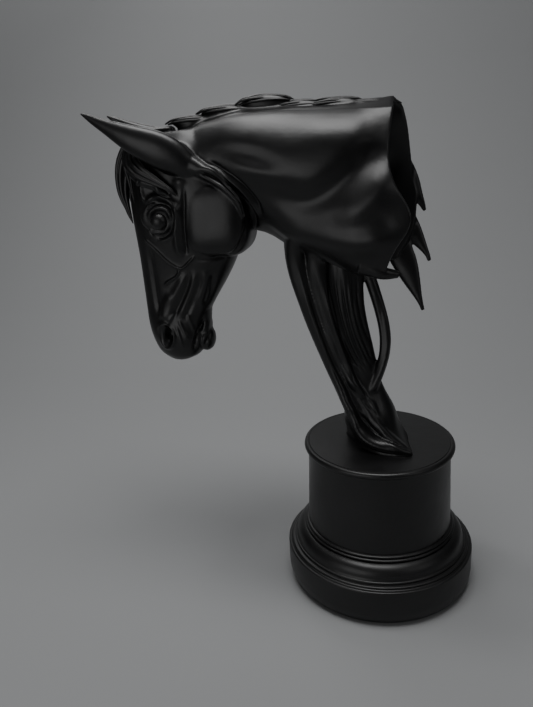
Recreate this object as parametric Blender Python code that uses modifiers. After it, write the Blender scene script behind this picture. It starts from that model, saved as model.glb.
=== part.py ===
"""Horse head sculpture on a turned plinth.

A bowed head and an arched hollow neck are cast in one with the fluted stem that carries them.
"""

import math

import bmesh
import bpy
import numpy as np
from mathutils import Matrix, Vector

# Turned plinth, in metres
PLINTH_HEIGHT = 0.183
TOP_FLAT_RADIUS = 0.0860
LIP_RADIUS = 0.0906
LIP_HEIGHT = 0.0080
DRUM_TOP_RADIUS = 0.0855
DRUM_FOOT_RADIUS = 0.0883
DRUM_FOOT_HEIGHT = 0.0780
COLLAR_RADIUS = 0.0935
COLLAR_HEIGHT = 0.0070
OVOLO_RADIUS = 0.1035
OVOLO_FOOT_HEIGHT = 0.0530
BEAD_RADIUS = 0.1095
FOOT_RADIUS = 0.1152
FOOT_TOP_HEIGHT = 0.0470
FOOT_BASE_RADIUS = 0.1060
FOOT_CURVE_HEIGHT = 0.0200
TURNED_STEPS = 48

# The cast horse
SEAT_GAP = 0.0003
# The casting's points below are drawn for a seat at this height, then moved to the plinth's top
DRAWN_SEAT = 0.1830
NECK_WALL = 0.0045
VOXEL = 0.0021
SMOOTH_STEPS = 3
CAST_TRIANGLES = 6800
SECTION_POINTS = 20

# Head: front and back of each level in the plane of symmetry (x, z), half width, squareness
HEAD_LEVELS = [
    (-0.2530, 0.2885, -0.2270, 0.2880, 0.0140, 2.0),
    (-0.2650, 0.2990, -0.2130, 0.2960, 0.0225, 2.2),
    (-0.2722, 0.3170, -0.2070, 0.3130, 0.0265, 2.3),
    (-0.2757, 0.3350, -0.2050, 0.3340, 0.0250, 2.3),
    (-0.2768, 0.3600, -0.1925, 0.3580, 0.0235, 2.3),
    (-0.2774, 0.3900, -0.1735, 0.3880, 0.0260, 2.4),
    (-0.2778, 0.4150, -0.1610, 0.4120, 0.0300, 2.5),
    (-0.2790, 0.4380, -0.1550, 0.4340, 0.0345, 2.5),
    (-0.2805, 0.4600, -0.1500, 0.4580, 0.0375, 2.4),
    (-0.2810, 0.4850, -0.1500, 0.4830, 0.0375, 2.3),
    (-0.2770, 0.5120, -0.1580, 0.5100, 0.0350, 2.2),
    (-0.2660, 0.5340, -0.1700, 0.5330, 0.0300, 2.1),
    (-0.2450, 0.5480, -0.1900, 0.5530, 0.0190, 2.0),
]

# Neck: crest and underside of each station (x, z), half width, and how far the section closes underneath
NECK_STATIONS = [
    (-0.2150, 0.5490, -0.1640, 0.4620, 0.0290, 1.00),
    (-0.1900, 0.5600, -0.1420, 0.4420, 0.0320, 1.00),
    (-0.1560, 0.5665, -0.1200, 0.4335, 0.0390, 1.00),
    (-0.1150, 0.5690, -0.0930, 0.4170, 0.0450, 0.97),
    (-0.0700, 0.5675, -0.0600, 0.4060, 0.0500, 0.88),
    (-0.0300, 0.5665, -0.0280, 0.3930, 0.0540, 0.78),
]
# The torn rear edge of each side of the neck, from the crest down (x, z)
NEAR_EDGE = [(0.0150, 0.5690), (0.0095, 0.5200), (0.0150, 0.4900), (0.0300, 0.4620), (0.0290, 0.4430),
             (0.0150, 0.4190), (0.0040, 0.3920)]
FAR_EDGE = [(0.0230, 0.5690), (0.0300, 0.5450), (0.0345, 0.5160), (0.0385, 0.4840), (0.0430, 0.4600),
            (0.0380, 0.4250), (0.0200, 0.3950)]
EDGE_HALF_WIDTH = 0.0560
# The crest's ridge drifts to the far side and rises towards the rear
RIDGE_START = -0.0700
RIDGE_RUN = 0.0800
RIDGE_OFFSET = 0.0070
RIDGE_RISE = 0.0040

# Strands are points (x, y, z, half width, half thickness) along a smooth line
FLAMES = [
    [(0.008, 0.0530, 0.532, 0.010, 0.0020), (0.030, 0.0580, 0.490, 0.013, 0.0030),
     (0.0470, 0.0600, 0.460, 0.005, 0.0030), (0.0525, 0.0605, 0.448, 0.001, 0.0015)],
    [(0.005, 0.0590, 0.475, 0.014, 0.0020), (0.033, 0.0570, 0.434, 0.013, 0.0034),
     (0.0540, 0.0525, 0.402, 0.004, 0.0030), (0.0585, 0.0500, 0.391, 0.001, 0.0015)],
    [(0.004, 0.0570, 0.448, 0.016, 0.0020), (0.029, 0.0505, 0.392, 0.015, 0.0038),
     (0.0475, 0.0445, 0.346, 0.004, 0.0030), (0.0520, 0.0430, 0.333, 0.001, 0.0015)],
    [(-0.022, -0.0450, 0.402, 0.007, 0.0020), (0.003, -0.0420, 0.396, 0.007, 0.0055),
     (0.020, -0.0360, 0.393, 0.004, 0.0045)],
]
# The stem from foot to neck: height, then eight points (x, y) round it
STEM_SECTIONS = [
    (0.1750, [(-0.039, 0.021), (-0.031, -0.010), (-0.014, -0.033), (0.010, -0.046),
              (0.041, -0.044), (0.037, -0.012), (0.030, 0.030), (-0.008, 0.034)]),
    (0.1860, [(-0.038, 0.020), (-0.031, -0.008), (-0.014, -0.031), (0.008, -0.043),
              (0.034, -0.041), (0.034, -0.012), (0.028, 0.028), (-0.008, 0.032)]),
    (0.2020, [(-0.040, 0.017), (-0.035, -0.006), (-0.022, -0.022), (-0.005, -0.031),
              (0.014, -0.030), (0.024, -0.010), (0.022, 0.022), (-0.010, 0.026)]),
    (0.2250, [(-0.042, 0.012), (-0.038, -0.005), (-0.028, -0.015), (-0.012, -0.020),
              (0.005, -0.018), (0.017, -0.004), (0.014, 0.016), (-0.014, 0.020)]),
    (0.2550, [(-0.052, 0.008), (-0.049, -0.004), (-0.040, -0.011), (-0.024, -0.012),
              (-0.008, -0.011), (0.004, 0.000), (-0.002, 0.013), (-0.028, 0.015)]),
    (0.2950, [(-0.067, 0.006), (-0.064, -0.004), (-0.054, -0.010), (-0.038, -0.011),
              (-0.019, -0.010), (-0.005, 0.001), (-0.015, 0.013), (-0.042, 0.015)]),
    (0.3500, [(-0.087, 0.006), (-0.084, -0.004), (-0.074, -0.010), (-0.055, -0.011),
              (-0.031, -0.010), (-0.016, 0.002), (-0.027, 0.013), (-0.060, 0.015)]),
    (0.4050, [(-0.100, 0.006), (-0.097, -0.004), (-0.087, -0.010), (-0.064, -0.011),
              (-0.034, -0.010), (-0.018, 0.002), (-0.032, 0.013), (-0.070, 0.015)]),
    (0.4600, [(-0.106, 0.006), (-0.103, -0.004), (-0.092, -0.010), (-0.068, -0.011),
              (-0.042, -0.010), (-0.028, 0.002), (-0.040, 0.013), (-0.074, 0.015)]),
    (0.5100, [(-0.125, 0.006), (-0.122, -0.004), (-0.112, -0.010), (-0.092, -0.011),
              (-0.072, -0.010), (-0.056, 0.002), (-0.066, 0.013), (-0.094, 0.015)]),
    (0.5600, [(-0.140, 0.006), (-0.138, -0.004), (-0.130, -0.010), (-0.114, -0.011),
              (-0.098, -0.010), (-0.086, 0.002), (-0.092, 0.013), (-0.112, 0.015)]),
]
STEM_STRANDS = [
    [(-0.088, -0.006, 0.470, 0.014, 0.014), (-0.092, -0.008, 0.410, 0.0125, 0.013),
     (-0.0780, -0.010, 0.350, 0.0105, 0.012), (-0.0590, -0.012, 0.295, 0.0090, 0.012),
     (-0.0425, -0.014, 0.253, 0.0075, 0.012), (-0.0290, -0.020, 0.222, 0.0070, 0.013),
     (-0.012, -0.030, 0.199, 0.008, 0.010), (0.016, -0.040, 0.190, 0.006, 0.006),
     (0.038, -0.043, 0.186, 0.002, 0.003)],
    [(-0.066, -0.010, 0.460, 0.015, 0.010), (-0.068, -0.012, 0.390, 0.0125, 0.009),
     (-0.056, -0.013, 0.330, 0.0105, 0.008), (-0.041, -0.013, 0.282, 0.0090, 0.008),
     (-0.026, -0.014, 0.245, 0.008, 0.009), (-0.008, -0.020, 0.216, 0.008, 0.009),
     (0.014, -0.029, 0.198, 0.006, 0.007), (0.034, -0.038, 0.188, 0.002, 0.003)],
    [(-0.036, 0.000, 0.460, 0.014, 0.016), (-0.040, 0.000, 0.395, 0.0135, 0.014),
     (-0.032, 0.000, 0.340, 0.0115, 0.013), (-0.021, 0.000, 0.298, 0.0095, 0.012),
     (-0.011, 0.000, 0.268, 0.0070, 0.010), (-0.004, 0.000, 0.250, 0.0050, 0.008)],
    [(-0.026, 0.006, 0.430, 0.009, 0.008), (-0.0145, 0.008, 0.394, 0.0075, 0.007),
     (-0.0010, 0.006, 0.352, 0.0068, 0.007), (0.0065, 0.002, 0.320, 0.0068, 0.007),
     (0.0065, -0.002, 0.294, 0.0065, 0.007), (-0.001, -0.006, 0.266, 0.0058, 0.007),
     (-0.010, -0.012, 0.243, 0.0040, 0.004)],
]
EAR_PATH = [(-0.1930, 0.026, 0.5020, 0.0100, 0.0090), (-0.2080, 0.033, 0.5180, 0.0165, 0.0110),
            (-0.2300, 0.038, 0.5315, 0.0190, 0.0105), (-0.2580, 0.039, 0.5440, 0.0145, 0.0085),
            (-0.2850, 0.037, 0.5575, 0.0080, 0.0055), (-0.3020, 0.035, 0.5665, 0.0045, 0.0035),
            (-0.3140, 0.034, 0.5730, 0.0010, 0.0015)]
FORELOCK = [
    [(-0.225, 0.000, 0.546, 0.012, 0.012), (-0.260, 0.004, 0.540, 0.012, 0.009),
     (-0.280, 0.007, 0.518, 0.010, 0.007), (-0.285, 0.008, 0.490, 0.009, 0.006),
     (-0.282, 0.006, 0.460, 0.002, 0.002)],
    [(-0.225, -0.006, 0.544, 0.010, 0.010), (-0.258, -0.016, 0.540, 0.010, 0.008),
     (-0.268, -0.030, 0.519, 0.008, 0.006), (-0.256, -0.038, 0.501, 0.006, 0.005),
     (-0.232, -0.040, 0.488, 0.005, 0.004), (-0.218, -0.040, 0.480, 0.001, 0.001)],
    [(-0.225, 0.006, 0.544, 0.010, 0.010), (-0.262, 0.020, 0.534, 0.010, 0.008),
     (-0.278, 0.028, 0.502, 0.008, 0.006), (-0.281, 0.028, 0.473, 0.001, 0.001)],
]
# Lumps of the mane along the crest: x, z and half length, half height
MANE_LOCKS = [(-0.200, 0.5585, 0.026, 0.0080), (-0.165, 0.5670, 0.026, 0.0080),
              (-0.120, 0.5730, 0.026, 0.0100), (-0.082, 0.5670, 0.024, 0.0080),
              (-0.045, 0.5670, 0.026, 0.0080), (-0.008, 0.5645, 0.024, 0.0065)]
MANE_HALF_WIDTH = 0.0100
MANE_OFFSET = 0.0060

# Cheek discs and the balls of the eyes: centre (x, y, z) and half sizes
CHEEK = ((-0.1770, 0.0, 0.4570), (0.0385, 0.0415, 0.0440))
CHEEK_SQUARE = 2.8
CHEEK_FLATNESS = 5.0
BROW = ((-0.2390, 0.0330, 0.4610), (0.0215, 0.0100, 0.0170))
CHIN = ((-0.2060, 0.0000, 0.3130), (0.0110, 0.0150, 0.0160))

# Strokes pushed into both sides of the cast: centre (x, y, z), reach, depth (negative cuts in)
STROKES = [
    ((-0.2390, 0.046, 0.4560), 0.0085, -0.0040),
    ((-0.2395, 0.050, 0.4560), 0.0050, 0.0030),
    ((-0.2520, 0.026, 0.3260), 0.0070, -0.0070),
    ((-0.2220, 0.040, 0.4300), 0.0120, -0.0030),
    ((-0.2140, 0.026, 0.3000), 0.0060, -0.0035),
    ((-0.2080, 0.024, 0.3120), 0.0050, -0.0030),
    ((-0.2400, 0.040, 0.4900), 0.0120, -0.0035),
    ((-0.1139, 0.050, 0.4846), 0.0140, -0.0045),
    ((-0.0781, 0.052, 0.4691), 0.0150, -0.0055),
    ((-0.0532, 0.054, 0.4820), 0.0140, -0.0045),
    ((-0.0337, 0.054, 0.5026), 0.0140, -0.0045),
    ((-0.0120, 0.052, 0.5220), 0.0120, -0.0045),
    ((-0.0429, 0.042, 0.5400), 0.0260, 0.0035),
    ((-0.0394, 0.056, 0.4596), 0.0130, 0.0035),
    ((-0.0100, 0.058, 0.4790), 0.0130, 0.0030),
]


def clear_scene():
    for old in list(bpy.data.objects):
        bpy.data.objects.remove(old)


def collection(name):
    made = bpy.data.collections.new(name)
    bpy.context.scene.collection.children.link(made)
    return made


def material(name, colour, roughness):
    made = bpy.data.materials.new(name)
    made.use_nodes = True
    shader = made.node_tree.nodes["Principled BSDF"]
    shader.inputs["Base Color"].default_value = (*colour, 1.0)
    shader.inputs["Roughness"].default_value = roughness
    shader.inputs["Metallic"].default_value = 0.0
    return made


def add_object(name, mesh, group):
    made = bpy.data.objects.new(name, mesh)
    group.objects.link(made)
    return made


def smooth_line(points, count):
    """A Catmull-Rom line through rows of numbers, read at an even step of its parameter."""
    rows = np.array(points, float)
    ends = np.vstack([2 * rows[0] - rows[1], rows, 2 * rows[-1] - rows[-2]])
    line = []
    for t in np.linspace(0, len(rows) - 1, count):
        i = min(int(t), len(rows) - 2)
        f = t - i
        a, b, c, d = ends[i:i + 4]
        line.append(0.5 * (2 * b + (c - a) * f + (2 * a - 5 * b + 4 * c - d) * f * f
                           + (3 * b - a - 3 * c + d) * f ** 3))
    return np.array(line)


def add_loft(form, sections):
    """Closes a row of point rings into one body: bridged side walls and a flat cap on each end."""
    rings = [[form.verts.new(p) for p in ring] for ring in sections]
    edges = []
    for ring in rings:
        edges.append([form.edges.new((ring[i], ring[(i + 1) % len(ring)])) for i in range(len(ring))])
    for first, second in zip(edges, edges[1:]):
        bmesh.ops.bridge_loops(form, edges=first + second)
    form.faces.new(rings[0])
    form.faces.new(rings[-1])


def add_strand(form, points, mirror=1.0, steps_per_point=4):
    """A tapering strand: an oval swept along a smooth line, its width in the upright plane of symmetry."""
    line = smooth_line(points, steps_per_point * (len(points) - 1) + 1)
    sections = []
    for i, row in enumerate(line):
        ahead = Vector(line[min(i + 1, len(line) - 1)][:3]) - Vector(line[max(i - 1, 0)][:3])
        across = ahead.cross(Vector((0, 1, 0))).normalized()
        through = across.cross(ahead).normalized()
        half_width, half_depth = max(row[3], 0.0008), max(row[4], 0.0008)
        ring = []
        for k in range(SECTION_POINTS):
            turn = 2 * math.pi * k / SECTION_POINTS
            aside = across * half_width * math.cos(turn)
            p = Vector(row[:3]) + aside + through * half_depth * math.sin(turn)
            ring.append((p.x, p.y * mirror, p.z))
        sections.append(ring)
    add_loft(form, sections)


def add_ball(form, centre, half_sizes, mirror=1.0):
    place = Matrix.Translation((centre[0], centre[1] * mirror, centre[2]))
    place = place @ Matrix.Diagonal((*half_sizes, 1.0))
    bmesh.ops.create_uvsphere(form, u_segments=24, v_segments=16, radius=1.0, matrix=place)


def add_head(form):
    sections = []
    for front_x, front_z, back_x, back_z, half_width, square in smooth_line(HEAD_LEVELS, 49):
        middle = Vector(((front_x + back_x) / 2, 0, (front_z + back_z) / 2))
        reach = Vector((front_x, 0, front_z)) - middle
        ring = []
        for k in range(2 * SECTION_POINTS):
            turn = math.pi * k / SECTION_POINTS
            c, s = math.cos(turn), math.sin(turn)
            along = math.copysign(abs(c) ** (2 / square), c)
            side = math.copysign(abs(s) ** (2 / square), s)
            taper = 1.0 - 0.18 * along
            p = middle + reach * along
            ring.append((p.x, side * half_width * taper, p.z))
        sections.append(ring)
    add_loft(form, sections)


def add_stem(form):
    """The body of the stem: closed smooth rings that turn from a spread foot into a slender oval."""
    rows = []
    for height, outline in STEM_SECTIONS:
        rows.append([height] + [value for point in outline for value in point])
    sections = []
    for row in smooth_line(rows, 4 * len(rows) - 3):
        outline = [(row[1 + 2 * i], row[2 + 2 * i]) for i in range(8)]
        closed = smooth_line(outline[-2:] + outline + outline[:2], 45)[8:-5]
        sections.append([(x, y, row[0]) for x, y in closed])
    add_loft(form, sections)


def add_cheeks(form):
    """The two cheeks: one flat-faced squarish disc that runs through the head from side to side."""
    (x, y, z), (half_length, half_width, half_height) = CHEEK
    sections = []
    for turn in np.radians(np.linspace(-87, 87, 15)):
        size = math.cos(turn) ** (2 / CHEEK_FLATNESS)
        depth = y + half_width * math.copysign(abs(math.sin(turn)) ** (2 / CHEEK_FLATNESS), turn)
        ring = []
        for k in range(2 * SECTION_POINTS):
            around = math.pi * k / SECTION_POINTS
            c, s = math.cos(around), math.sin(around)
            along = math.copysign(abs(c) ** (2 / CHEEK_SQUARE), c)
            up = math.copysign(abs(s) ** (2 / CHEEK_SQUARE), s)
            ring.append((x + half_length * size * along, depth, z + half_height * size * up))
        sections.append(ring)
    add_loft(form, sections)


def neck_half_width(share, closing):
    """Half width of a neck section as a share of its widest, from the crest (0) to the underside (1)."""
    return 0.16 * (1 - share) + math.sin(math.pi * min(share * closing, 1.0) ** 0.85) ** 0.75


def neck_section(station, points):
    crest_x, crest_z, under_x, under_z, half_width, closing = station
    rows = []
    for k in range(points):
        share = k / (points - 1)
        x = crest_x + (under_x - crest_x) * share
        z = crest_z + (under_z - crest_z) * share
        rows.append((x, half_width * neck_half_width(share, closing), z))
    return rows


def add_neck_core(form):
    """The front of the neck, which is closed all round."""
    sections = []
    for station in smooth_line(NECK_STATIONS[:4], 13):
        station[5] = 1.0
        near = neck_section(station, 16)
        ring = near + [(x, -y, z) for x, y, z in reversed(near)][1:-1]
        sections.append(ring)
    add_loft(form, sections)


def edge_row(edge, points):
    row = smooth_line(edge, points)
    half = []
    for k, (x, z) in enumerate(row):
        share = k / (points - 1)
        half.append((x, EDGE_HALF_WIDTH * neck_half_width(share, 0.70), z))
    return half


def raise_ridge(row):
    """Lifts the middle of a row of the neck sheet to the far side, more towards the rear."""
    middle = len(row) // 2
    x, y, z = row[middle]
    share = min(max((x - RIDGE_START) / RIDGE_RUN, 0.0), 1.0)
    row[middle] = (x, y + RIDGE_OFFSET * share, z + RIDGE_RISE * share)


def neck_shell(group):
    """The hollow rear of the neck: one open sheet over the crest, given its wall by Solidify."""
    points = 22
    form = bmesh.new()
    rows = []
    stations = list(smooth_line(NECK_STATIONS[1:], 21))
    for station in stations:
        half = neck_section(station, points)
        rows.append([(x, -y, z) for x, y, z in reversed(half)] + half[1:])
    near = [(x, -y, z) for x, y, z in edge_row(NEAR_EDGE, points)]
    far = edge_row(FAR_EDGE, points)
    edge = list(reversed(near)) + far[1:]
    raise_ridge(edge)
    for row in rows:
        raise_ridge(row)
    last = rows[-1]
    for step in range(1, 7):
        f = step / 6
        rows.append([tuple(np.array(a) * (1 - f) + np.array(b) * f) for a, b in zip(last, edge)])
    grid = [[form.verts.new(p) for p in row] for row in rows]
    loops = [[form.edges.new(pair) for pair in zip(row, row[1:])] for row in grid]
    for first, second in zip(loops, loops[1:]):
        bmesh.ops.bridge_loops(form, edges=first + second)
    bmesh.ops.recalc_face_normals(form, faces=form.faces)
    if sum(face.normal.y * face.calc_center_median().y for face in form.faces) < 0:
        bmesh.ops.reverse_faces(form, faces=form.faces)
    mesh = bpy.data.meshes.new("neck_shell")
    form.to_mesh(mesh)
    form.free()
    shell = add_object("neck_shell", mesh, group)
    wall = shell.modifiers.new("wall", "SOLIDIFY")
    wall.thickness = NECK_WALL
    wall.offset = -1.0
    return shell


def cast_forms(group):
    """Every solid form of the cast, still overlapping, as one mesh."""
    form = bmesh.new()
    add_head(form)
    add_neck_core(form)
    for side in (-1.0, 1.0):
        add_ball(form, *BROW, mirror=side)
        add_strand(form, EAR_PATH, mirror=side)
    add_cheeks(form)
    add_ball(form, *CHIN)
    add_stem(form)
    for x, z, half_length, half_height in MANE_LOCKS:
        add_ball(form, (x, MANE_OFFSET, z), (half_length, MANE_HALF_WIDTH, half_height))
    for strand in FLAMES + STEM_STRANDS + FORELOCK:
        add_strand(form, strand)
    bmesh.ops.recalc_face_normals(form, faces=form.faces)
    mesh = bpy.data.meshes.new("cast_forms")
    form.to_mesh(mesh)
    form.free()
    return add_object("cast_forms", mesh, group)


def evaluated_mesh(thing):
    bpy.context.view_layer.update()
    graph = bpy.context.evaluated_depsgraph_get()
    return bpy.data.meshes.new_from_object(thing.evaluated_get(graph))


def fuse(pieces, group):
    """Joins overlapping forms into one skin with a voxel remesh, then relaxes it."""
    form = bmesh.new()
    for piece in pieces:
        mesh = evaluated_mesh(piece)
        form.from_mesh(mesh)
        bpy.data.objects.remove(piece)
    mesh = bpy.data.meshes.new("fused")
    form.to_mesh(mesh)
    form.free()
    fused = add_object("fused", mesh, group)
    skin = fused.modifiers.new("skin", "REMESH")
    skin.mode = "VOXEL"
    skin.voxel_size = VOXEL
    relax = fused.modifiers.new("relax", "SMOOTH")
    relax.factor = 0.5
    relax.iterations = SMOOTH_STEPS
    mesh = evaluated_mesh(fused)
    bpy.data.objects.remove(fused)
    return mesh


def carve(mesh):
    """Moves the skin in or out, fading over each stroke's reach, and sets the cast on the plinth."""
    count = len(mesh.vertices)
    points = np.empty(count * 3)
    mesh.vertices.foreach_get("co", points)
    points = points.reshape(-1, 3)
    moved = points.copy()
    for (x, y, z), reach, depth in STROKES:
        for side in (-1.0, 1.0):
            away = np.linalg.norm(points - np.array([x, y * side, z]), axis=1)
            fade = np.exp(-(away / reach) ** 2)
            moved[:, 1] += side * depth * fade * (points[:, 1] * side > 0)
    moved[:, 2] += PLINTH_HEIGHT - DRAWN_SEAT
    mesh.vertices.foreach_set("co", moved.ravel())
    mesh.update()


def keep_largest(mesh):
    """Deletes stray islands, so that the cast is one body."""
    form = bmesh.new()
    form.from_mesh(mesh)
    unseen = set(form.verts)
    islands = []
    while unseen:
        front = [unseen.pop()]
        island = list(front)
        while front:
            vert = front.pop()
            for edge in vert.link_edges:
                other = edge.other_vert(vert)
                if other in unseen:
                    unseen.remove(other)
                    front.append(other)
                    island.append(other)
        islands.append(island)
    islands.sort(key=len)
    for island in islands[:-1]:
        bmesh.ops.delete(form, geom=island, context="VERTS")
    form.to_mesh(mesh)
    form.free()


def make_cast(group, cutters, finish):
    mesh = fuse([cast_forms(group), neck_shell(group)], group)
    keep_largest(mesh)
    carve(mesh)
    cast = add_object("horse_head", mesh, group)
    fine = len(mesh.polygons) * 2
    fewer = cast.modifiers.new("fewer", "DECIMATE")
    fewer.ratio = CAST_TRIANGLES / fine
    fewer.use_collapse_triangulate = True
    form = bmesh.new()
    depth = 0.08
    place = Matrix.Translation((0, 0, PLINTH_HEIGHT + SEAT_GAP - depth / 2))
    bmesh.ops.create_cube(form, size=1.0, matrix=place @ Matrix.Diagonal((0.4, 0.4, depth, 1)))
    cutter_mesh = bpy.data.meshes.new("seat_cutter")
    form.to_mesh(cutter_mesh)
    form.free()
    cutter = add_object("seat_cutter", cutter_mesh, cutters)
    cutter.hide_render = True
    cutter.display_type = "WIRE"
    seat = cast.modifiers.new("seat", "BOOLEAN")
    seat.operation = "DIFFERENCE"
    seat.object = cutter
    cast.data.materials.append(finish)
    return cast


def arc(centre, radius, start, stop, steps):
    points = []
    for i in range(steps + 1):
        turn = math.radians(start + (stop - start) * i / steps)
        points.append((centre[0] + radius[0] * math.cos(turn), centre[1] + radius[1] * math.sin(turn)))
    return points


def plinth_profile():
    """Radius and height down the plinth's outer side, from the middle of its top to that of its base."""
    lip_middle = PLINTH_HEIGHT - LIP_HEIGHT / 2
    lip_depth = LIP_RADIUS - TOP_FLAT_RADIUS
    collar_foot = DRUM_FOOT_HEIGHT - COLLAR_HEIGHT
    bead_top = FOOT_TOP_HEIGHT + 0.35 * (OVOLO_FOOT_HEIGHT - FOOT_TOP_HEIGHT)
    profile = [(0.0, PLINTH_HEIGHT)]
    profile += arc((TOP_FLAT_RADIUS, lip_middle), (lip_depth, LIP_HEIGHT / 2), 90, -75, 5)
    profile += [(DRUM_TOP_RADIUS, PLINTH_HEIGHT - LIP_HEIGHT - 0.001), (DRUM_FOOT_RADIUS, DRUM_FOOT_HEIGHT)]
    profile += arc((DRUM_FOOT_RADIUS, DRUM_FOOT_HEIGHT - COLLAR_HEIGHT / 2),
                   (COLLAR_RADIUS - DRUM_FOOT_RADIUS, COLLAR_HEIGHT / 2), 75, -75, 4)
    profile += arc((OVOLO_RADIUS - 0.0135, OVOLO_FOOT_HEIGHT + 0.002),
                   (0.0135, collar_foot - OVOLO_FOOT_HEIGHT - 0.003), 85, 0, 5)
    profile += [(OVOLO_RADIUS + 0.0025, OVOLO_FOOT_HEIGHT), (OVOLO_RADIUS + 0.0025, bead_top)]
    profile += [(BEAD_RADIUS, bead_top), (BEAD_RADIUS + 0.0015, FOOT_TOP_HEIGHT)]
    profile += [(FOOT_RADIUS - 0.0015, FOOT_TOP_HEIGHT), (FOOT_RADIUS, FOOT_TOP_HEIGHT - 0.003)]
    profile += arc((FOOT_BASE_RADIUS, FOOT_CURVE_HEIGHT),
                   (FOOT_RADIUS - FOOT_BASE_RADIUS, FOOT_CURVE_HEIGHT), 0, -90, 4)
    profile += [(0.0, 0.0)]
    return profile


def make_plinth(group, finish):
    form = bmesh.new()
    verts = [form.verts.new((radius, 0, height)) for radius, height in plinth_profile()]
    for pair in zip(verts, verts[1:]):
        form.edges.new(pair)
    mesh = bpy.data.meshes.new("plinth")
    form.to_mesh(mesh)
    form.free()
    plinth = add_object("plinth", mesh, group)
    turn = plinth.modifiers.new("turn", "SCREW")
    turn.axis = "Z"
    turn.steps = TURNED_STEPS
    turn.render_steps = TURNED_STEPS
    turn.use_merge_vertices = True
    turn.merge_threshold = 0.0001
    plinth.data.materials.append(finish)
    return plinth


def main():
    clear_scene()
    group = collection("horse_head_sculpture")
    cutters = collection("cutters")
    satin = material("black_satin", (0.012, 0.012, 0.013), 0.32)
    matt = material("black_matt", (0.014, 0.014, 0.014), 0.55)
    make_plinth(group, matt)
    make_cast(group, cutters, satin)


main()
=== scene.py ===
# %% [markdown]
# # A black satin horse head on a turned plinth
#
# This lesson dresses a finished CAD model. The real sculpture is one resin casting, a bowed horse head
# with a thin hollow neck on a stem of ribbons, standing on a plinth turned like a wooden pedestal.
# The casting is rebuilt here at a finer grain than the CAD solid and carved in code, as a sculptor
# first blocks out a form and then works into its skin with small tools.

# %% Load the frame
import math

import bmesh
import bpy
import numpy as np
from mathutils import Matrix, Vector


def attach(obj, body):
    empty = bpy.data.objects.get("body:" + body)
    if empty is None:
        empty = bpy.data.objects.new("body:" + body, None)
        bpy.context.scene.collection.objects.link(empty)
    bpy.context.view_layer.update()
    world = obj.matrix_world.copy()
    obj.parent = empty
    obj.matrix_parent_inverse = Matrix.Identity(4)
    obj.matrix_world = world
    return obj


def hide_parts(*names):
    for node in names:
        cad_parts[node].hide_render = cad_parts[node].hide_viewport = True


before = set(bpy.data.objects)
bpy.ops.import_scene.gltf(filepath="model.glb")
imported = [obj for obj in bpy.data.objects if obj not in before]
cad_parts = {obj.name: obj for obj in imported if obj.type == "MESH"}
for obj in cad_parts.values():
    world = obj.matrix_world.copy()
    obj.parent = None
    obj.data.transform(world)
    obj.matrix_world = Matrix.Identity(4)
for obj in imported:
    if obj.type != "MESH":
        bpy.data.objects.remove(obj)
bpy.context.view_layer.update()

# %% [markdown]
# ## The camera
#
# A photograph of a turned plinth gives its own camera away: every ring is a circle seen as an ellipse.
# The pitch, turn, roll and distance below were fitted to those ellipses. They could be set by eye, but
# then each later comparison with the photograph would blame the model for the camera's error.

# %% Camera
CAMERA_POINT = Vector((0.0, -0.7033, 0.5292))
PITCH, TURN, ROLL = math.radians(18.33), math.radians(-10.75), math.radians(3.26)
FOCAL_PIXELS = 624.2
FRAME_PIXELS = 707


def camera_axes():
    """The camera's right, up and back directions."""
    ahead = Vector((math.sin(TURN) * math.cos(PITCH), math.cos(TURN) * math.cos(PITCH), -math.sin(PITCH)))
    level = Vector((math.cos(TURN), -math.sin(TURN), 0.0))
    down = ahead.cross(level)
    right = level * math.cos(ROLL) + down * math.sin(ROLL)
    return right, level * math.sin(ROLL) - down * math.cos(ROLL), -ahead


camera_data = bpy.data.cameras.new("camera")
camera_data.sensor_width = 36.0
camera_data.lens = FOCAL_PIXELS / FRAME_PIXELS * camera_data.sensor_width
camera = bpy.data.objects.new("camera", camera_data)
bpy.context.scene.collection.objects.link(camera)
camera.matrix_world = Matrix.Translation(CAMERA_POINT) @ Matrix(camera_axes()).transposed().to_4x4()
bpy.context.scene.camera = camera
print("camera at", tuple(CAMERA_POINT), "lens", round(camera_data.lens, 2))

# %% [markdown]
# ## Tubes that follow a rule
#
# Head, stem, ears and every lock of hair are the same thing to a modeller: a closed tube whose rings
# change size and place along its length. Each starts as a cone with equal ends, has its long edges cut
# into rings by subdivide_edges, and is then bent by a function that says where each ring's points go.
# A curve with a bevel would do for the hair, but not for a head whose section changes shape.

# %% Tube helpers
def add_tube(form, sides, rings, place, mirror=1.0):
    """Adds a closed tube to form. place(along, turn) gives a point from 0..1 along and an angle round."""
    tube = bmesh.new()
    bmesh.ops.create_cone(tube, cap_ends=True, cap_tris=False, segments=sides, radius1=1, radius2=1, depth=1)
    upright = [e for e in tube.edges if abs(e.verts[0].co.z - e.verts[1].co.z) > 0.5]
    bmesh.ops.subdivide_edges(tube, edges=upright, cuts=rings - 2, use_grid_fill=True)
    for vert in tube.verts:
        point = place(min(max(vert.co.z + 0.5, 0.0), 1.0), math.atan2(vert.co.y, vert.co.x))
        vert.co = (point[0], point[1] * mirror, point[2])
    bmesh.ops.recalc_face_normals(tube, faces=tube.faces)
    mesh = bpy.data.meshes.new("tube")
    tube.to_mesh(mesh)
    tube.free()
    form.from_mesh(mesh)
    bpy.data.meshes.remove(mesh)


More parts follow.
